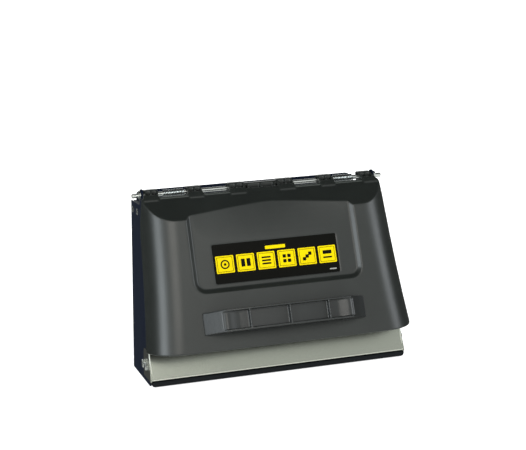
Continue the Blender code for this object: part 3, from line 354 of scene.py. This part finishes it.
def film_material(name, colour):
    made, tree, shader = new_material(name)
    surface = add_surface(tree, grain_size=300.0, roughness=0.32, variation=0.06)
    tint = mix_colours(tree, surface.outputs["Dust"], paler(colour, 1.0), paler(colour, FILM_DUST))
    tree.links.new(tint, shader.inputs["Base Color"])
    tree.links.new(surface.outputs["Roughness"], shader.inputs["Roughness"])
    shader.inputs["Specular IOR Level"].default_value = 0.06
    return made


def finish_node(obj, made):
    obj.data.materials.clear()
    obj.data.materials.append(made)


def soften_edges(obj, width):
    """Rounds the sharp edges of a node a little, so that they catch the light."""
    soft = obj.modifiers.new("Soft edges", "BEVEL")
    soft.width = width
    soft.segments = 3
    soft.limit_method = "ANGLE"
    soft.angle_limit = math.radians(35)
    soft.harden_normals = True


# Helpers for shapes


def new_piece(name, mesh, made):
    mesh.materials.clear()
    mesh.materials.append(made)
    piece = bpy.data.objects.new(name, mesh)
    bpy.context.scene.collection.objects.link(piece)
    return piece


def bridge(shape, near, far):
    """Joins two rings with as many points by four-sided faces."""
    count = len(near)
    return [shape.faces.new((near[k], near[(k + 1) % count], far[(k + 1) % count], far[k]))
            for k in range(count)]


def add_tube(shape, rings):
    """A closed solid through rings of points, from its first end to its last."""
    faces = [shape.faces.new(rings[0][::-1]), shape.faces.new(rings[-1])]
    for near, far in zip(rings, rings[1:]):
        faces += bridge(shape, near, far)
    bmesh.ops.recalc_face_normals(shape, faces=faces)


def finished_mesh(shape, name, sharp=None):
    """The mesh of a shape, shaded smooth up to an angle in degrees where one is given."""
    mesh = bpy.data.meshes.new(name)
    shape.to_mesh(mesh)
    shape.free()
    if sharp:
        mesh.shade_smooth()
        mesh.set_sharp_from_angle(angle=math.radians(sharp))
    return mesh


def circle(radius, steps=24):
    return [(radius * math.cos(math.tau * k / steps), radius * math.sin(math.tau * k / steps))
            for k in range(steps)]


def rounded_rectangle(width, height, radius, steps=5):
    corners = ((1, 1, 0), (-1, 1, 90), (-1, -1, 180), (1, -1, 270))
    outline = []
    for across, up, turn in corners:
        for k in range(steps + 1):
            angle = math.radians(turn + 90 * k / steps)
            outline.append((across * (width / 2 - radius) + radius * math.cos(angle),
                            up * (height / 2 - radius) + radius * math.sin(angle)))
    return outline


def applied(piece):
    """The piece with its modifiers made part of its mesh."""
    bpy.context.view_layer.update()
    mesh = bpy.data.meshes.new_from_object(piece.evaluated_get(bpy.context.evaluated_depsgraph_get()))
    piece.modifiers.clear()
    old = piece.data
    piece.data = mesh
    bpy.data.meshes.remove(old)
    return mesh


# Pieces of the chute


def on_face(across, down, out):
    """A place on the cover's face, measured down the face from the brow."""
    return HINGE + BROW + Vector((across, 0, 0)) - FACE_UP * down + FACE_OUT * out


def add_fairings(mesh):
    """Joins the two fairings of the handle's ramps to its mesh."""
    shape = bmesh.new()
    shape.from_mesh(mesh)
    top = [p for knots in (FAIRING_CREST, FAIRING_FALL) for p in interpolate_bezier(*map(Vector, knots), 14)]
    outline = [tuple(p) for p in top] + list(FAIRING_UNDER)
    for side in (-1, 1):
        add_tube(shape, [[shape.verts.new(on_face(-side * across, down, rise)) for across, rise in outline]
                         for down in FAIRING_SPAN])
    shape.to_mesh(mesh)
    shape.free()


def moulded_copy(node, name, cell, passes, made, extend=None):
    """A finer copy of a moulded node with the soft edges that a mould leaves."""
    mesh = NODES[node].data.copy()
    mesh.transform(NODES[node].matrix_world)
    if extend:
        extend(mesh)
    piece = new_piece(name, mesh, made)
    fine = piece.modifiers.new("Even cells", "REMESH")
    fine.mode = "VOXEL"
    fine.voxel_size = cell
    soft = piece.modifiers.new("Soft edges", "SMOOTH")
    soft.factor = 0.5
    soft.iterations = passes
    applied(piece).shade_smooth()
    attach(piece, "cover")
    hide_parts(node)
    return piece


def ramp(value, low, high):
    """0 below low, 1 above high, and a smooth rise between them."""
    share = np.clip((value - low) / (high - low), 0, 1)
    return share * share * (3 - 2 * share)


def cover_half_width(z):
    """Half the cover's width at a height from the hinge, or at an array of heights."""
    return COVER_HALF_WIDTH + COVER_FLARE * np.clip(-z / COVER_HEIGHT, 0, 1) ** FLARE_POWER


def fill_out_sides(mesh, fullness):
    """Widens the cover's corners into a fuller curve, and eases it out towards the back edge."""
    flat = np.empty(len(mesh.vertices) * 3)
    mesh.vertices.foreach_get("co", flat)
    places = flat.reshape(-1, 3)
    across, y, z = (places - np.array(HINGE)).T
    start = cover_half_width(z) - COVER_CORNER
    depth = y - BROW.y - (z - BROW.z) * math.tan(FACE_LEAN)
    past = np.maximum(abs(across) - start, 0)
    turned = np.degrees(np.arctan2(past, np.maximum(COVER_CORNER - depth, 0)))
    shift = np.interp(turned, *zip(*CORNER_GROWTH)) * np.interp(depth, *zip(*SIDE_EASE))
    places[:, 0] += np.sign(across) * fullness * shift * (1 - ramp(y, *SIDE_FADE))
    mesh.vertices.foreach_set("co", places.ravel())
    mesh.update()


def spring_route(side):
    """Middle line of a torsion spring, from the leg in the end knuckle to the leg on the duct's roof."""
    points = [(LEG_REACH, LEG_Y, LEG_Z)]
    points += [(COIL_OUTER_END + past, LEG_Y + back, LEG_Z) for past, back in LEG_BEND]
    total = math.tau * COIL_TURNS + COIL_LAST - COIL_FIRST
    steps = COIL_TURNS * COIL_STEPS
    for i in range(steps + 1):
        angle = COIL_FIRST + total * i / steps
        x = COIL_OUTER_END + (COIL_INNER_END - COIL_OUTER_END) * i / steps
        points.append((x, COIL_RADIUS * math.cos(angle), COIL_RADIUS * math.sin(angle)))
    y = points[-1][1]
    for share, lift in FIXED_LEG_LIFT:
        points.append((COIL_INNER_END - FIXED_LEG_PAST, y + FIXED_LEG_LENGTH * share, FIXED_LEG_REST + lift))
    return [HINGE + Vector((side * x, y, z)) for x, y, z in points]


def make_spring(side, made):
    curve = bpy.data.curves.new("Spring route", "CURVE")
    curve.dimensions = "3D"
    curve.bevel_depth = WIRE_RADIUS
    curve.bevel_resolution = 3
    curve.use_fill_caps = True
    route = spring_route(side)
    spline = curve.splines.new("POLY")
    spline.points.add(len(route) - 1)
    for point, place in zip(spline.points, route):
        point.co = (*place, 1)
    guide = bpy.data.objects.new("Spring route", curve)
    bpy.context.scene.collection.objects.link(guide)
    bpy.context.view_layer.update()
    mesh = bpy.data.meshes.new_from_object(guide.evaluated_get(bpy.context.evaluated_depsgraph_get()))
    bpy.data.objects.remove(guide, do_unlink=True)
    mesh.shade_smooth()
    piece = new_piece("coil_" + ("left" if side < 0 else "right"), mesh, made)
    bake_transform(piece)
    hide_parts(SPRING_NODES[side])


def add_bar(shape, start, end, radius, steps=20):
    """A straight round bar between two places, given from the hinge."""
    start, end = Vector(start), Vector(end)
    turn = (end - start).to_track_quat("Z", "Y")
    add_tube(shape, [[shape.verts.new(HINGE + place + turn @ Vector((u, v, 0)))
                      for u, v in circle(radius, steps)] for place in (start, end)])


def finished_bars(name, shape, made, body):
    piece = new_piece(name, finished_mesh(shape, name, sharp=40), made)
    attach(piece, body)


def make_edge_roll(made):
    """Rounded bead that stands along the roof's edge in the four windows between knuckles."""
    shape = bmesh.new()
    for near, far in WINDOWS:
        for side in (-1, 1):
            add_bar(shape, (side * near, *ROLL_PLACE), (side * far, *ROLL_PLACE), ROLL_RADIUS)
    finished_bars("edge_roll", shape, made, "cover")


def make_plate_hems(made):
    """Rolled edges at the foot and the two ends of the deflector plate."""
    shape = bmesh.new()
    add_bar(shape, (-HEM_HALF, *HEM_FOOT), (HEM_HALF, *HEM_FOOT), HEM_RADIUS)
    for side in (-1, 1):
        add_bar(shape, (side * HEM_HALF, *HEM_TOP), (side * HEM_HALF, *HEM_FOOT), HEM_RADIUS)
    finished_bars("plate_hems", shape, made, "duct")


def make_side_flanges(made):
    """Front flange of each cheek, which reaches inside the cover and closes the slit beside it."""
    shape = bmesh.new()
    (top_y, top_z), (foot_y, foot_z) = BACK_EDGE
    for side in (-1, 1):
        rows = []
        for k in range(FLANGE_ROWS + 1):
            z = FLANGE_TOP + (FLANGE_FOOT - FLANGE_TOP) * k / FLANGE_ROWS
            back = top_y + (foot_y - top_y) * (z - top_z) / (foot_z - top_z)
            outer = cover_half_width(z) - FLANGE_INSET
            inner, turn = outer - FLANGE_SHEET, back + FLANGE_TURN
            joined = max(outer + FLANGE_STEP, CHEEK_INSIDE - CHEEK_LEAN * z + CHEEK_OVERLAP)
            corners = ((inner, back - FLANGE_REACH), (outer, back - FLANGE_REACH),
                       (outer, turn - FLANGE_SHEET), (joined, turn - FLANGE_SHEET), (joined, turn),
                       (inner, turn))
            rows.append([shape.verts.new(HINGE + Vector((side * x, y, z))) for x, y in corners])
        add_tube(shape, rows)
    piece = new_piece("side_flanges", finished_mesh(shape, "side_flanges"), made)
    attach(piece, "duct")


def make_rod(made):
    """The hinge rod, turned smooth, with chamfered ends."""
    shape = bmesh.new()
    ends = [(-ROD_REACH, ROD_RADIUS - ROD_CHAMFER), (ROD_CHAMFER - ROD_REACH, ROD_RADIUS),
            (ROD_REACH - ROD_CHAMFER, ROD_RADIUS), (ROD_REACH, ROD_RADIUS - ROD_CHAMFER)]
    add_tube(shape, [[shape.verts.new(HINGE + Vector((x, u, v))) for u, v in circle(radius, 48)]
                     for x, radius in ends])
    piece = new_piece("smooth_rod", finished_mesh(shape, "smooth_rod", sharp=30), made)
    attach(piece, "duct")
    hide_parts("hinge_rod")


def add_print(shape, outline, across, down, hole=None, base=0.0):
    """A thin raised field, or a ring where it has a hole with as many points."""
    def ring(points, out):
        return [shape.verts.new(on_face(across + u, down - v, LABEL_OUT + (base + out))) for u, v in points]

    low, top = ring(outline, 0.0), ring(outline, PRINT_THICKNESS)
    bridge(shape, low, top)
    if hole:
        low_hole, top_hole = ring(hole, 0.0), ring(hole, PRINT_THICKNESS)
        bridge(shape, top_hole, low_hole)
        bridge(shape, top, top_hole)
        bridge(shape, low_hole, low)
    else:
        shape.faces.new(top)
        shape.faces.new(low[::-1])


def add_mark(shape, index, across, wanted):
    """A thin frame and a plain shape on one field: bars, a disc, a ring or squares."""
    width, height = wanted.field_width - 2 * MARK_INSET, wanted.field_height - 2 * MARK_INSET
    over = PRINT_THICKNESS
    frame, opening = MARK_CORNERS
    add_print(shape, rounded_rectangle(width, height, frame), across, FIELD_MIDDLE,
              hole=rounded_rectangle(width - 2 * MARK_LINE, height - 2 * MARK_LINE, opening), base=over)
    bar, block = rounded_rectangle(*BAR), rounded_rectangle(*BLOCK)
    places = (
        [(circle(DISC_RADIUS), 0.0, 0.0)],
        [(rounded_rectangle(*TALL_BAR), side * 0.0038, 0.0) for side in (-1, 1)],
        [(bar, 0.0, row * 0.0042) for row in (-1, 0, 1)],
        [(block, side * 0.0033, row * 0.0033) for side in (-1, 1) for row in (-1, 1)],
        [(block, step * 0.0042, -step * 0.0034) for step in (-1, 0, 1)],
        [(rounded_rectangle(*THICK_BAR), 0.0, -0.0028), (bar, 0.0, 0.0042)],
    )
    kind = index % len(places)
    if kind == 0:
        outer, inner = map(circle, RING_RADII)
        add_print(shape, outer, across, FIELD_MIDDLE, hole=inner, base=over)
    for outline, right, down in places[kind]:
        add_print(shape, outline, across + right, FIELD_MIDDLE + down, base=over)


def label_piece(name, shape, made):
    piece = new_piece(name, finished_mesh(shape, name), made)
    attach(piece, "cover")


# Operators


class ChuteOperator(bpy.types.Operator):
    bl_options = {"REGISTER", "UNDO"}


class CHUTE_OT_cover(ChuteOperator):
    """Finishes the moulded cover and its pull handle"""

    bl_idname = "chute.cover"
    bl_label = "Cover and handle"

    def execute(self, context):
        wanted = settings("plastic")
        cover = plastic_material("Cover plastic", wanted.colour, wanted.roughness)
        handle = plastic_material("Handle plastic", wanted.handle_colour, wanted.roughness - 0.05)
        shell = moulded_copy("cover", "moulded_cover", wanted.cell, COVER_PASSES, cover)
        fill_out_sides(shell.data, wanted.side_fullness)
        make_edge_roll(cover)
        moulded_copy("pull_handle", "moulded_handle", wanted.handle_cell, HANDLE_PASSES, handle,
                     extend=add_fairings)
        return {"FINISHED"}


class CHUTE_OT_label(ChuteOperator):
    """Finishes the label plate with plain fields"""

    bl_idname = "chute.label"
    bl_label = "Label"

    def execute(self, context):
        wanted = settings("label")
        finish_node(NODES["label_plate"], film_material("Label film", wanted.film))
        fields = bmesh.new()
        marks = bmesh.new()
        pitch = (FIELD_SPAN - wanted.field_width) / max(wanted.fields - 1, 1)
        for k in range(wanted.fields):
            across = pitch * (k - (wanted.fields - 1) / 2)
            outline = rounded_rectangle(wanted.field_width, wanted.field_height, FIELD_CORNER)
            add_print(fields, outline, across, FIELD_MIDDLE)
            add_mark(marks, k, across, wanted)
        add_print(fields, rounded_rectangle(*HEADING_BAR), 0.0, HEADING_DOWN)
        label_piece("label_fields", fields, film_material("Label fields", wanted.field))
        label_piece("label_marks", marks, film_material("Label marks", wanted.film))
        note = bmesh.new()
        add_print(note, rounded_rectangle(*NOTE_BAR), *NOTE_PLACE)
        label_piece("label_note", note, film_material("Label note", wanted.note))
        return {"FINISHED"}


class CHUTE_OT_metal(ChuteOperator):
    """Finishes the duct, plate, lip, rod, springs and fasteners"""

    bl_idname = "chute.metal"
    bl_label = "Duct, plate and fittings"

    def execute(self, context):
        wanted = settings("metal")
        zinc = metal_material("Zinc sheet", wanted.zinc, roughness=0.24, grain_size=700.0, variation=0.15)
        plated = metal_material("Plated steel", wanted.plated, roughness=0.25)
        paint = paint_material("Duct paint", wanted.paint, roughness=0.5)
        rubber = plastic_material("Rubber", wanted.rubber, roughness=0.6, gloss=0.04)
        for name, node in NODES.items():
            if name in DUCT_NODES:
                finish_node(node, paint)
            elif name == "deflector_plate":
                finish_node(node, zinc)
                soften_edges(node, 0.0007)
            elif name == "rubber_lip":
                finish_node(node, rubber)
            elif name not in ("cover", "pull_handle", "label_plate", "hinge_rod", *SPRING_NODES.values()):
                finish_node(node, plated)
        spring = metal_material("Spring steel", wanted.spring, roughness=0.2)
        make_side_flanges(paint)
        # The rolled edges take the lighter zinc colour, a painted highlight along the plate's foot and ends.
        make_plate_hems(metal_material("Zinc edge highlight", wanted.edge, roughness=0.3, grain_size=700.0))
        make_rod(metal_material("Rod steel", wanted.plated, roughness=0.22, variation=0.05))
        for side in SPRING_NODES:
            make_spring(side, spring)
        return {"FINISHED"}


class CHUTE_OT_stage(ChuteOperator):
    """Makes the backdrop, lights, surroundings and camera"""

    bl_idname = "chute.stage"
    bl_label = "Stage"

    def execute(self, context):
        wanted = settings("stage")
        make_backdrop(wanted.floor, wanted.glow)
        make_lights(wanted)
        make_studio(wanted)
        make_camera()
        return {"FINISHED"}


# Stage


def make_backdrop(colour, glow):
    """A floor that curves up into a wall behind the object."""
    shape = bmesh.new()
    line = [(SWEEP_FRONT, 0.0), (SWEEP_DEPTH, 0.0)]
    line += [(SWEEP_DEPTH + SWEEP_RADIUS * math.sin(a), SWEEP_RADIUS - SWEEP_RADIUS * math.cos(a))
             for a in (math.pi / 2 * k / SWEEP_STEPS for k in range(1, SWEEP_STEPS + 1))]
    line.append((SWEEP_DEPTH + SWEEP_RADIUS, SWEEP_HEIGHT))
    rows = [[shape.verts.new((x, y, z)) for x in (-SWEEP_HALF, SWEEP_HALF)] for y, z in line]
    for low, high in zip(rows, rows[1:]):
        shape.faces.new((low[0], low[1], high[1], high[0]))
    mesh = finished_mesh(shape, "Backdrop")
    mesh.shade_smooth()
    made, _, shader = new_material("Backdrop")
    shader.inputs["Base Color"].default_value = (*colour, 1)
    shader.inputs["Roughness"].default_value = 0.8
    shader.inputs["Emission Color"].default_value = (1, 1, 1, 1)
    shader.inputs["Emission Strength"].default_value = glow
    floor = new_piece("Backdrop", mesh, made)
    floor.visible_glossy = False


def area_light(name, place, target, size, power, colour):
    data = bpy.data.lights.new(name, "AREA")
    data.shape = "RECTANGLE"
    data.size, data.size_y = size
    data.energy = power
    data.color = colour
    lamp = bpy.data.objects.new(name, data)
    bpy.context.scene.collection.objects.link(lamp)
    lamp.location = place
    lamp.visible_camera = False
    lamp.rotation_mode = "QUATERNION"
    lamp.rotation_quaternion = (place - target).to_track_quat("Z", "Y")


def seen_from_part(azimuth, elevation, distance):
    """A place round the part: azimuth from the front towards the right, and elevation, in degrees."""
    azimuth, elevation = math.radians(azimuth), math.radians(elevation)
    return MIDDLE + distance * Vector((math.sin(azimuth) * math.cos(elevation),
                                       -math.cos(azimuth) * math.cos(elevation), math.sin(elevation)))


def make_lights(wanted):
    for name, setting, azimuth, elevation, size, colour in LIGHTS:
        power = getattr(wanted, setting) * math.pi * size[0] * size[1]
        area_light(name, seen_from_part(azimuth, elevation, LIGHT_DISTANCE), MIDDLE, size, power, colour)


def make_studio(wanted):
    """The surroundings: pale walls in front, dark ones beside, a pale one behind, a ceiling and the floor."""
    world = bpy.data.worlds.new("Studio")
    world.use_nodes = True
    tree = world.node_tree
    place = add_node(tree, "TexCoord")
    parts = add_node(tree, "SeparateXYZ", {"Vector": place.outputs["Generated"]})
    x, y, z = (parts.outputs[axis] for axis in "XYZ")
    beside = smooth_range(tree, y, WALLS_TO_SIDES, (wanted.walls, wanted.sides))
    behind = smooth_range(tree, y, SIDES_TO_REAR, (0.0, wanted.rear))
    middle = smooth_range(tree, math_node(tree, "ABSOLUTE", x), REAR_FADE, (1.0, 0.0))
    above = smooth_range(tree, z, HORIZON, (0.0, 1.0))
    rear = math_node(tree, "MULTIPLY", behind, math_node(tree, "MULTIPLY", middle, above))
    around = math_node(tree, "ADD", beside, rear)
    low = math_node(tree, "MULTIPLY", around, smooth_range(tree, z, OVERHEAD, (1.0, 0.0)))
    lit = math_node(tree, "ADD", low, smooth_range(tree, z, UNDERFOOT, (wanted.bounce, wanted.ceiling)))
    seen = add_node(tree, "LightPath")
    strength = add_node(tree, "Mix", {"Factor": seen.outputs["Is Camera Ray"], "A": lit,
                                      "B": BACKGROUND_STRENGTH})
    tree.nodes["Background"].inputs["Color"].default_value = STUDIO_COLOUR
    tree.links.new(strength.outputs["Result"], tree.nodes["Background"].inputs["Strength"])
    bpy.context.scene.world = world
    bpy.context.scene.view_settings.view_transform = "Standard"


def make_camera():
    data = bpy.data.cameras.new("Camera")
    data.sensor_width = SENSOR_WIDTH
    data.lens = FOCAL_PIXELS / IMAGE_SIZE[0] * SENSOR_WIDTH
    data.clip_start, data.clip_end = CAMERA_CLIP
    camera = bpy.data.objects.new("Camera", data)
    bpy.context.scene.collection.objects.link(camera)
    level = math.cos(CAMERA_PITCH)
    ahead = Vector((math.sin(CAMERA_YAW) * level, math.cos(CAMERA_YAW) * level, -math.sin(CAMERA_PITCH)))
    right = ahead.cross(Vector((0, 0, 1))).normalized()
    above = right.cross(ahead)
    turned_right = right * math.cos(CAMERA_ROLL) + above * math.sin(CAMERA_ROLL)
    turned_up = above * math.cos(CAMERA_ROLL) - right * math.sin(CAMERA_ROLL)
    turn = Matrix((turned_right, turned_up, -ahead)).transposed()
    camera.matrix_world = Matrix.Translation(HINGE + CAMERA_FROM_HINGE) @ turn.to_4x4()
    bpy.context.scene.camera = camera


# Panel and registration


class CHUTE_PT_panel(bpy.types.Panel):
    bl_label = "Discharge chute"
    bl_idname = "CHUTE_PT_panel"
    bl_space_type = "VIEW_3D"
    bl_region_type = "UI"
    bl_category = "Discharge chute"

    def draw(self, context):
        for operator in OPERATORS:
            self.layout.operator(operator.bl_idname)
        for name, group in SETTINGS.items():
            box = self.layout.box()
            for key in group.__annotations__:
                box.prop(settings(name), key)


SETTINGS = {"plastic": PlasticSettings, "label": LabelSettings, "metal": MetalSettings,
            "stage": StageSettings}
OPERATORS = (CHUTE_OT_stage, CHUTE_OT_cover, CHUTE_OT_label, CHUTE_OT_metal)
CLASSES = (*SETTINGS.values(), *OPERATORS, CHUTE_PT_panel)


def register():
    for item in CLASSES:
        bpy.utils.register_class(item)
    for name, group in SETTINGS.items():
        setattr(bpy.types.Scene, f"chute_{name}", PointerProperty(type=group))


def unregister():
    for name in SETTINGS:
        delattr(bpy.types.Scene, f"chute_{name}")
    for item in reversed(CLASSES):
        bpy.utils.unregister_class(item)


def main():
    register()
    for operator in OPERATORS:
        group, name = operator.bl_idname.split(".")
        getattr(getattr(bpy.ops, group), name)()


if __name__ == "__main__":
    main()
